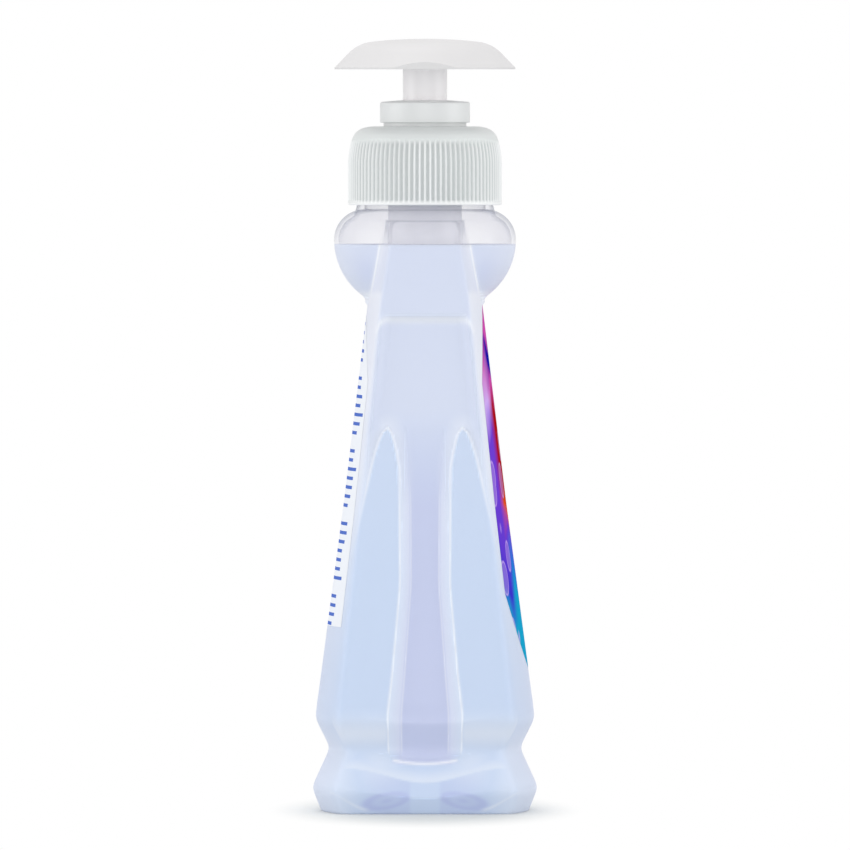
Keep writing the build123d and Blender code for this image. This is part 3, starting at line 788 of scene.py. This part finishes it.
MAGENTA = (0.62, 0.08, 0.42)
LILAC = (0.64, 0.42, 0.88)
VIOLET = (0.16, 0.05, 0.64)
BLUE = (0.04, 0.035, 0.6)
DEEP_BLUE = (0.002, 0.006, 0.36)
RED = (0.4, 0.005, 0.006)
ORANGE = (0.75, 0.09, 0.01)
AZURE = (0.02, 0.18, 0.68)
TEAL = (0.01, 0.36, 0.6)
FIELD_HEIGHTS = (0.030, 0.1066)
FIELD_SWAY = 0.05
SWAY_SCALE = 70.0
SWAY_DETAIL = 1.0
NOISE_RANGE = (0.3, 0.7)
SIDE_STOPS = [(0.13, TEAL), (0.2, BLUE), (0.45, VIOLET), (0.66, VIOLET), (0.76, LILAC), (0.86, MAGENTA)]
MIDDLE_STOPS = [
    (0.17, TEAL),
    (0.26, AZURE),
    (0.36, VIOLET),
    (0.42, ORANGE),
    (0.47, RED),
    (0.7, RED),
    (0.78, MAGENTA),
    (0.84, DEEP_BLUE),
    (0.9, DEEP_BLUE),
    (0.94, MAGENTA),
]
MIDDLE_HALF = (0.012, 0.02)
SPOT_SCALE = 95.0
SPOT_DISORDER = 0.85
SPOT_RADIUS = 0.34
SPOT_SOFTNESS = 0.01
SPOT_TINT = 0.28
SPOT_RIM_WIDTH = 0.035
SPOT_RIM_TINT = 0.7
FILM_ROUGHNESS = 0.6
printed = finish("printed_fields", MAGENTA, FILM_ROUGHNESS, Specular_IOR_Level=0.0)
tree = printed.node_tree
place = linked(tree, "ShaderNodeTexCoord", {}).outputs["Object"]
sway = {"Vector": place, "Scale": SWAY_SCALE, "Detail": SWAY_DETAIL}
wave = linked(tree, "ShaderNodeTexNoise", sway).outputs["Fac"]
axes = linked(tree, "ShaderNodeSeparateXYZ", {"Vector": place})
height = ranged(tree, axes.outputs["Z"], *FIELD_HEIGHTS)
swayed = worked(tree, "ADD", ranged(tree, wave, *NOISE_RANGE, -FIELD_SWAY, FIELD_SWAY), height)
side_fields = ramp(tree, swayed, SIDE_STOPS)
middle_fields = ramp(tree, swayed, MIDDLE_STOPS)
aside = worked(tree, "ABSOLUTE", axes.outputs["X"])
fields = blended(tree, ranged(tree, aside, *MIDDLE_HALF), middle_fields, side_fields)
flattened = linked(tree, "ShaderNodeMapping", {"Vector": place, "Scale": (1.0, 0.0, 1.0)}).outputs["Vector"]
spots = {"Vector": flattened, "Scale": SPOT_SCALE, "Randomness": SPOT_DISORDER}
spread = linked(tree, "ShaderNodeTexVoronoi", spots).outputs["Distance"]
spot = ranged(tree, spread, SPOT_RADIUS - SPOT_SOFTNESS, SPOT_RADIUS + SPOT_SOFTNESS, SPOT_TINT, 0.0)
fields = blended(tree, spot, fields, LILAC)
spot_rim = line_at(tree, spread, SPOT_RADIUS, SPOT_RIM_WIDTH, SPOT_RIM_TINT)
fields = blended(tree, spot_rim, fields, LILAC)
tree.links.new(fields, tree.nodes["Principled BSDF"].inputs["Base Color"])
front_label.data.materials.append(printed)

FILM_WHITE = (0.86, 0.88, 0.93)
BAR_BLUE = (0.1, 0.18, 0.58)
BAR_PITCH = 0.0019
BAR_FROM = 0.62
BARS_IN_GROUP = 8.0
FIRST_BAR = 0.5
BAR_ARCH_HEIGHTS = (0.086, 0.1025)
BAR_HALF_WIDTHS = (0.0215, 0.005)
BAR_ENDS = (-0.72, -1.12)
barred = finish("barred_film", FILM_WHITE, FILM_ROUGHNESS, Specular_IOR_Level=0.0)
tree = barred.node_tree
place = linked(tree, "ShaderNodeTexCoord", {}).outputs["Object"]
axes = linked(tree, "ShaderNodeSeparateXYZ", {"Vector": place})
row = worked(tree, "DIVIDE", axes.outputs["Z"], BAR_PITCH)
row_number = worked(tree, "FLOOR", row)
in_row = worked(tree, "FRACT", row)
chance = linked(tree, "ShaderNodeTexWhiteNoise", {"W": row_number}, noise_dimensions="1D").outputs["Value"]
bar_start = ranged(tree, axes.outputs["Z"], *BAR_ARCH_HEIGHTS, *BAR_HALF_WIDTHS)
bar_end = worked(tree, "MULTIPLY", bar_start, ranged(tree, chance, 0.0, 1.0, *BAR_ENDS))
within = worked(
    tree,
    "MULTIPLY",
    worked(tree, "LESS_THAN", axes.outputs["X"], bar_start),
    worked(tree, "GREATER_THAN", axes.outputs["X"], bar_end),
)
in_group = worked(tree, "GREATER_THAN", worked(tree, "MODULO", row_number, BARS_IN_GROUP), FIRST_BAR)
inked_part = worked(tree, "MULTIPLY", worked(tree, "GREATER_THAN", in_row, BAR_FROM), in_group)
bar = worked(tree, "MULTIPLY", within, inked_part)
inked = blended(tree, bar, FILM_WHITE, BAR_BLUE)
tree.links.new(inked, tree.nodes["Principled BSDF"].inputs["Base Color"])
back_label.data.materials.append(barred)
for film, node in ((front_label, "front_label"), (back_label, "back_label")):
    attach(film, "bottle")
    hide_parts(node)


# The closure: a screw cap moulded in white plastic, with fine ribs round its skirt and a domed top.
# It screws down on the neck and clamps the pump's flange on the mouth.
def turned(name, profile, columns):
    """Surface of revolution of (radius, height) points about the axis, closed where the radius is nil."""
    radius, height = np.array(profile, dtype=float).T
    angle = 2.0 * np.pi * np.arange(columns) / columns
    x = radius[:, None] * np.cos(angle)
    y = radius[:, None] * np.sin(angle)
    z = np.broadcast_to(height[:, None], x.shape)
    return surface(name, np.stack([x, y, z], axis=-1))


def bend(start, middle, end, steps):
    """Points of a rounded corner: a parabola from start to end that is drawn towards the middle point."""
    t = np.linspace(0.0, 1.0, steps)[:, None]
    start, middle, end = (np.array(point, dtype=float) for point in (start, middle, end))
    return [tuple(p) for p in (1 - t) ** 2 * start + 2 * t * (1 - t) * middle + t**2 * end]


FLOW_SCALE = 55.0
FLOW_TONE = 0.015
FLOW_ROUGHNESS = 0.04


def skin_group():
    """Shader group of a moulded skin: slow noise, as of the plastic's flow in its mould, varies the colour
    and the roughness by a few parts in a hundred."""
    group = bpy.data.node_groups.new("moulded_skin", "ShaderNodeTree")
    sockets = {"Color": "NodeSocketColor", "Roughness": "NodeSocketFloat"}
    for name, kind in {"Place": "NodeSocketVector", **sockets}.items():
        group.interface.new_socket(name, in_out="INPUT", socket_type=kind)
    for name, kind in sockets.items():
        group.interface.new_socket(name, in_out="OUTPUT", socket_type=kind)
    given = group.nodes.new("NodeGroupInput").outputs
    pattern = {"Vector": given["Place"], "Scale": FLOW_SCALE}
    flow = linked(group, "ShaderNodeTexNoise", pattern).outputs["Fac"]
    tone = ranged(group, flow, *NOISE_RANGE, 1.0 - FLOW_TONE, 1.0 + FLOW_TONE)
    toned = linked(
        group,
        "ShaderNodeMix",
        {MIX_FACTOR: 1.0, MIX_FIRST: given["Color"], MIX_SECOND: tone},
        data_type="RGBA",
        blend_type="MULTIPLY",
    ).outputs[MIX_RESULT]
    uneven = ranged(group, flow, *NOISE_RANGE, -FLOW_ROUGHNESS, FLOW_ROUGHNESS)
    rough = worked(group, "ADD", given["Roughness"], uneven)
    linked(group, "NodeGroupOutput", {"Color": toned, "Roughness": rough})
    return group


moulded_skin = skin_group()


def moulded(material, color=None):
    """Runs a finish's colour, or a colour socket, and its roughness through the moulded skin."""
    tree = material.node_tree
    shader = tree.nodes["Principled BSDF"].inputs
    place = linked(tree, "ShaderNodeTexCoord", {}).outputs["Object"]
    given = {
        "Place": place,
        "Color": color or tuple(shader["Base Color"].default_value),
        "Roughness": shader["Roughness"].default_value,
    }
    skin = linked(tree, "ShaderNodeGroup", given, node_tree=moulded_skin).outputs
    tree.links.new(skin["Color"], shader["Base Color"])
    tree.links.new(skin["Roughness"], shader["Roughness"])
    return material


SHARP_ANGLE = math.radians(32.0)


def crisp(piece):
    """Keeps the sharp edges of a smooth-shaded piece: its faces are split where they meet at a steep
    angle."""
    split = piece.modifiers.new("sharp_edges", "EDGE_SPLIT")
    split.split_angle = SHARP_ANGLE
    return piece


CLOSURE_RADIUS = 16.15
CLOSURE_BORE = 13.9
CLOSURE_HOLE = 8.9
CLOSURE_LOW = 127.1
CLOSURE_TOP = 143.6
DECK_Z = 141.8
SKIRT_ROUND = 0.25
SKIRT_Z = (127.5, 136.0)
SKIRT_ROWS = 24
DOME_LOW = (CLOSURE_RADIUS, 136.2)
DOME_CORNER = (15.9, 140.2)
DOME_HIGH = (14.8, 142.0)
TOP_EDGE = (14.75, 142.06)
TOP_CORNER = (13.6, 143.5)
TOP_RADIUS = 11.0
RIB_COUNT = 90
STEPS_IN_RIB = 8
RIB_DEPTH = 0.4
RIB_LOW = 127.9
RIB_LOW_RUN = 0.2
RIB_HIGH = 140.6
RIB_HIGH_RUN = 0.5
BORE_MARGIN = 0.1
skirt_corner = bend(
    (CLOSURE_RADIUS - SKIRT_ROUND, CLOSURE_LOW),
    (CLOSURE_RADIUS, CLOSURE_LOW),
    (CLOSURE_RADIUS, CLOSURE_LOW + SKIRT_ROUND),
    steps=5,
)
closure_profile = [
    (CLOSURE_BORE, DECK_Z),
    (CLOSURE_BORE, CLOSURE_LOW),
    *skirt_corner,
    *[(CLOSURE_RADIUS, z) for z in np.linspace(*SKIRT_Z, SKIRT_ROWS)],
    *bend(DOME_LOW, DOME_CORNER, DOME_HIGH, steps=22),
    *bend(TOP_EDGE, TOP_CORNER, (TOP_RADIUS, CLOSURE_TOP), steps=12),
    (CLOSURE_HOLE, CLOSURE_TOP),
    (CLOSURE_HOLE, DECK_Z),
    (CLOSURE_BORE, DECK_Z),
]


def ribbed_height(z):
    """Share of the ribs at a height: 1 along the skirt, and smooth steps to nothing at both ends."""
    above_low = smooth(RIB_LOW - RIB_LOW_RUN, RIB_LOW + RIB_LOW_RUN, z)
    below_high = smooth(RIB_HIGH + RIB_HIGH_RUN, RIB_HIGH - RIB_HIGH_RUN, z)
    return above_low * below_high


def groove_round(angle):
    """Share of a groove round the skirt: 1 less the square of a raised cosine, which is 1 on a rib."""
    return 1.0 - (0.5 + 0.5 * np.cos(RIB_COUNT * angle)) ** 2


radius, height = np.array(closure_profile).T
rib_angle = 2.0 * np.pi * np.arange(RIB_COUNT * STEPS_IN_RIB) / (RIB_COUNT * STEPS_IN_RIB)
ribbed = ribbed_height(height) * (radius > CLOSURE_BORE + BORE_MARGIN)
cut = radius[:, None] - RIB_DEPTH * ribbed[:, None] * groove_round(rib_angle)
closure = surface(
    "ribbed_closure",
    np.stack(
        [cut * np.cos(rib_angle), cut * np.sin(rib_angle), np.broadcast_to(height[:, None], cut.shape)],
        axis=-1,
    ),
)


def groove_share(x, y, z):
    """Mask of the grooves between the ribs: 1 at a groove's floor and 0 on a rib."""
    return groove_round(np.arctan2(y, x)) * ribbed_height(z)


paint(closure, "groove", groove_share)
# The ribs are painted lighter and the grooves darker than the top's white: painted highlights on the ribs
# and painted shade in the grooves.
RIB_HIGHLIGHT = (0.88, 0.89, 0.89)
GROOVE_SHADE = (0.54, 0.57, 0.57)
TOP_WHITE = (0.72, 0.745, 0.74)
DOME_HEIGHTS = (0.1398, 0.1408)
SATIN_ROUGHNESS = 0.3
closure_white = finish("closure_white", TOP_WHITE, SATIN_ROUGHNESS)
tree = closure_white.node_tree
groove_value = linked(tree, "ShaderNodeAttribute", {}, attribute_name="groove").outputs["Fac"]
place = linked(tree, "ShaderNodeTexCoord", {}).outputs["Object"]
closure_height = linked(tree, "ShaderNodeSeparateXYZ", {"Vector": place}).outputs["Z"]
skirt = blended(tree, groove_value, RIB_HIGHLIGHT, GROOVE_SHADE)
toned = blended(tree, ranged(tree, closure_height, *DOME_HEIGHTS), skirt, TOP_WHITE)
closure.data.materials.append(moulded(closure_white, toned))
crisp(closure)
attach(closure, "closure")
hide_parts("closure")

# The chaplet: a plain ring moulded in white plastic, which snaps into the pump's cylinder above the closure.
# The stem runs through it, and it keeps the stem from coming out.
CHAPLET_RADIUS = 9.45
CHAPLET_BORE = 4.75
CHAPLET_SEAT = 8.7
CHAPLET_LOW = 144.4
CHAPLET_FOOT_RADIUS = 9.3
CHAPLET_SIDE_LOW = 144.6
CHAPLET_SIDE_HIGH = 148.3
CHAPLET_CORNER_Z = 148.72
CHAPLET_RIM = (8.9, 148.78)
CHAPLET_MOUTH = (4.95, 149.1)
CHAPLET_BORE_HIGH = 148.95
CHAPLET_COLUMNS = 96
SNAP_RADIUS = 6.5
SNAP_LOW = 135.0
chaplet_foot = bend(
    (CHAPLET_FOOT_RADIUS, CHAPLET_LOW),
    (CHAPLET_RADIUS, CHAPLET_LOW),
    (CHAPLET_RADIUS, CHAPLET_SIDE_LOW),
    steps=4,
)
chaplet_shoulder = bend(
    (CHAPLET_RADIUS, CHAPLET_SIDE_HIGH),
    (CHAPLET_RADIUS, CHAPLET_CORNER_Z),
    CHAPLET_RIM,
    steps=5,
)
chaplet = turned(
    "guide_ring",
    [
        (CHAPLET_BORE, SNAP_LOW),
        (SNAP_RADIUS, SNAP_LOW),
        (SNAP_RADIUS, DECK_Z),
        (CHAPLET_SEAT, DECK_Z),
        (CHAPLET_SEAT, CHAPLET_LOW),
        *chaplet_foot,
        *chaplet_shoulder,
        CHAPLET_MOUTH,
        (CHAPLET_BORE, CHAPLET_BORE_HIGH),
        (CHAPLET_BORE, SNAP_LOW),
    ],
    CHAPLET_COLUMNS,
)
CHAPLET_WHITE = (0.78, 0.79, 0.79)
ring_white = moulded(finish("ring_white", CHAPLET_WHITE, SATIN_ROUGHNESS))
chaplet.data.materials.append(ring_white)
crisp(chaplet)
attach(chaplet, "pump_unit")
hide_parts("chaplet")


# The stem and the pump head: a round hollow tube that works the piston, and a wide domed button on it,
# round behind and drawn out into a spout in front. Both are moulded in white plastic and pressed together.
WELD_DISTANCE = 1e-6


def smoothed(node):
    """Shades a CAD solid smooth: its loose triangles are welded and split again at the sharp edges."""
    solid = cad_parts[node]
    solid.data.polygons.foreach_set("use_smooth", np.ones(len(solid.data.polygons), dtype=bool))
    weld = solid.modifiers.new("weld", "WELD")
    weld.merge_threshold = WELD_DISTANCE
    solid.data.materials.clear()
    return crisp(solid)


HEAD_WHITE = (0.7, 0.69, 0.695)
HEAD_ROUGHNESS = 0.55
HEAD_SPECULAR = 0.25
STEM_WHITE = (1.0, 0.97, 0.98)
head_white = moulded(finish("head_white", HEAD_WHITE, HEAD_ROUGHNESS, Specular_IOR_Level=HEAD_SPECULAR))
stem_white = moulded(finish("stem_white", STEM_WHITE, SATIN_ROUGHNESS))
smoothed("pump_head").data.materials.append(head_white)
smoothed("stem").data.materials.append(stem_white)

# The pump below the closure: its cylinder, dip tube, valve parts and spring, all inside the bottle.
# They are the solids themselves, moulded in natural plastic, with the ball and the spring of steel.
NATURAL_WHITE = (0.97, 0.96, 0.99)
NATURAL_ROUGHNESS = 0.35
MILKY_WHITE = (0.78, 0.8, 0.86)
MILKY_ROUGHNESS = 0.4
MILKY_CLEARNESS = 0.4
STEEL_GREY = (0.6, 0.6, 0.62)
STEEL_ROUGHNESS = 0.25
natural_plastic = moulded(finish("natural_plastic", NATURAL_WHITE, NATURAL_ROUGHNESS))
milky = finish("milky_tube", MILKY_WHITE, MILKY_ROUGHNESS, Transmission_Weight=MILKY_CLEARNESS)
milky_tube = moulded(milky)
bright_steel = moulded(finish("bright_steel", STEEL_GREY, STEEL_ROUGHNESS, Metallic=1.0))
inner_finishes = {
    "pump_housing": natural_plastic,
    "gasket": natural_plastic,
    "valve_plug": natural_plastic,
    "dip_tube": milky_tube,
    "piston": milky_tube,
    "inlet_ball": bright_steel,
    "return_spring": bright_steel,
}
for node, material in inner_finishes.items():
    smoothed(node).data.materials.append(material)
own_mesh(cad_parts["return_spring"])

# The stage: a floor painted grey as a shadow near the bottle, fading into an even white surround a little
# way from it.
# Soft square lamps stand above, in front and at both sides.
FLOOR_HALF = 3.0
FLOOR_SHADOW_GREY = (0.67, 0.695, 0.7)
FLOOR_ROUGHNESS = 0.9
FADE_SCALE = (0.22, 1.0, 1.0)
FADE_REACH = (0.015, 0.034)
SURROUND_LIGHT = 0.815
PURE_WHITE = (1.0, 1.0, 1.0, 1.0)
floor_corners = FLOOR_HALF * np.array(
    [[-1.0, -1.0, 0.0], [1.0, -1.0, 0.0], [1.0, 1.0, 0.0], [-1.0, 1.0, 0.0]],
)
floor_mesh = bpy.data.meshes.new("floor")
floor_mesh.from_pydata(floor_corners.tolist(), [], [(0, 1, 2, 3)])
floor = bpy.data.objects.new("floor", floor_mesh)
bpy.context.scene.collection.objects.link(floor)
# The floor's grey, in an ellipse long from end to end of the bottle, is a painted shadow; the lamps' real
# shadows fall on it as well.
white_floor = finish("white_floor", FLOOR_SHADOW_GREY, FLOOR_ROUGHNESS)
tree = white_floor.node_tree
spot = linked(tree, "ShaderNodeTexCoord", {}).outputs["Object"]
drawn_in = linked(tree, "ShaderNodeMapping", {"Vector": spot, "Scale": FADE_SCALE}).outputs["Vector"]
distance = linked(tree, "ShaderNodeVectorMath", {0: drawn_in}, operation="LENGTH").outputs["Value"]
away = linked(
    tree,
    "ShaderNodeMapRange",
    {"Value": distance, "From Min": FADE_REACH[0], "From Max": FADE_REACH[1]},
    interpolation_type="SMOOTHSTEP",
).outputs["Result"]
path = linked(tree, "ShaderNodeLightPath", {})
straight = worked(tree, "MAXIMUM", path.outputs["Is Camera Ray"], path.outputs["Is Transmission Ray"])
straight = worked(tree, "MAXIMUM", straight, path.outputs["Is Glossy Ray"])
white_share = worked(tree, "MULTIPLY", away, straight)
glow = linked(tree, "ShaderNodeEmission", {"Color": PURE_WHITE, "Strength": 1.0})
mixed = linked(
    tree,
    "ShaderNodeMixShader",
    {0: white_share, 1: tree.nodes["Principled BSDF"].outputs["BSDF"], 2: glow.outputs["Emission"]},
)
tree.links.new(mixed.outputs["Shader"], tree.nodes["Material Output"].inputs["Surface"])
floor.data.materials.append(white_floor)

world = bpy.data.worlds.new("surround")
world.use_nodes = True
bpy.context.scene.world = world
surround = world.node_tree
background = surround.nodes["Background"]
path = linked(surround, "ShaderNodeLightPath", {})
seen = worked(surround, "MAXIMUM", path.outputs["Is Camera Ray"], path.outputs["Is Transmission Ray"])
level = ranged(surround, seen, 0.0, 1.0, SURROUND_LIGHT, 1.0)
surround.links.new(level, background.inputs["Strength"])
background.inputs["Color"].default_value = PURE_WHITE


def soft_lamp(name, place, aim, size, power):
    """Square area lamp at a place, turned to face a point."""
    lamp = bpy.data.lights.new(name, "AREA")
    lamp.size = size
    lamp.energy = power
    lamp_object = bpy.data.objects.new(name, lamp)
    lamp_object.location = place
    direction = np.array(aim) - np.array(place)
    lamp_object.rotation_euler = (
        math.atan2(math.hypot(direction[0], direction[1]), -direction[2]),
        0.0,
        math.atan2(direction[1], direction[0]) - math.pi / 2.0,
    )
    bpy.context.scene.collection.objects.link(lamp_object)


OBJECT_MIDDLE = (0.0, 0.0, 0.08)
soft_lamp("top_lamp", place=(0.3, 0.08, 0.8), aim=OBJECT_MIDDLE, size=0.4, power=1.45)
soft_lamp("front_lamp", place=(-1.6, 0.0, 0.22), aim=OBJECT_MIDDLE, size=1.0, power=6.5)
soft_lamp("left_lamp", place=(-0.2, 0.9, 0.25), aim=OBJECT_MIDDLE, size=0.6, power=1.8)
soft_lamp("right_lamp", place=(-0.2, -0.9, 0.25), aim=OBJECT_MIDDLE, size=0.6, power=1.8)

# The camera: a long lens far away, nearly level with the middle of the bottle.
# It looks at the narrow end that the spout points to.
PIXEL = 0.21 * MM
PHOTO_SIZE = 850
VIEW_DISTANCE = 6.0
VIEW_ELEVATION = math.radians(0.7)
VIEW_MIDDLE_Z = 0.0809
SENSOR_WIDTH = 36.0
camera_data = bpy.data.cameras.new("camera")
camera_data.sensor_width = SENSOR_WIDTH
camera_data.lens = SENSOR_WIDTH * VIEW_DISTANCE / (PIXEL * PHOTO_SIZE)
camera = bpy.data.objects.new("camera", camera_data)
camera.location = (
    -VIEW_DISTANCE * math.cos(VIEW_ELEVATION),
    0.0,
    VIEW_MIDDLE_Z + VIEW_DISTANCE * math.sin(VIEW_ELEVATION),
)
camera.rotation_euler = (math.pi / 2.0 - VIEW_ELEVATION, 0.0, -math.pi / 2.0)
bpy.context.scene.collection.objects.link(camera)
bpy.context.scene.camera = camera
bpy.context.scene.view_settings.view_transform = "Standard"
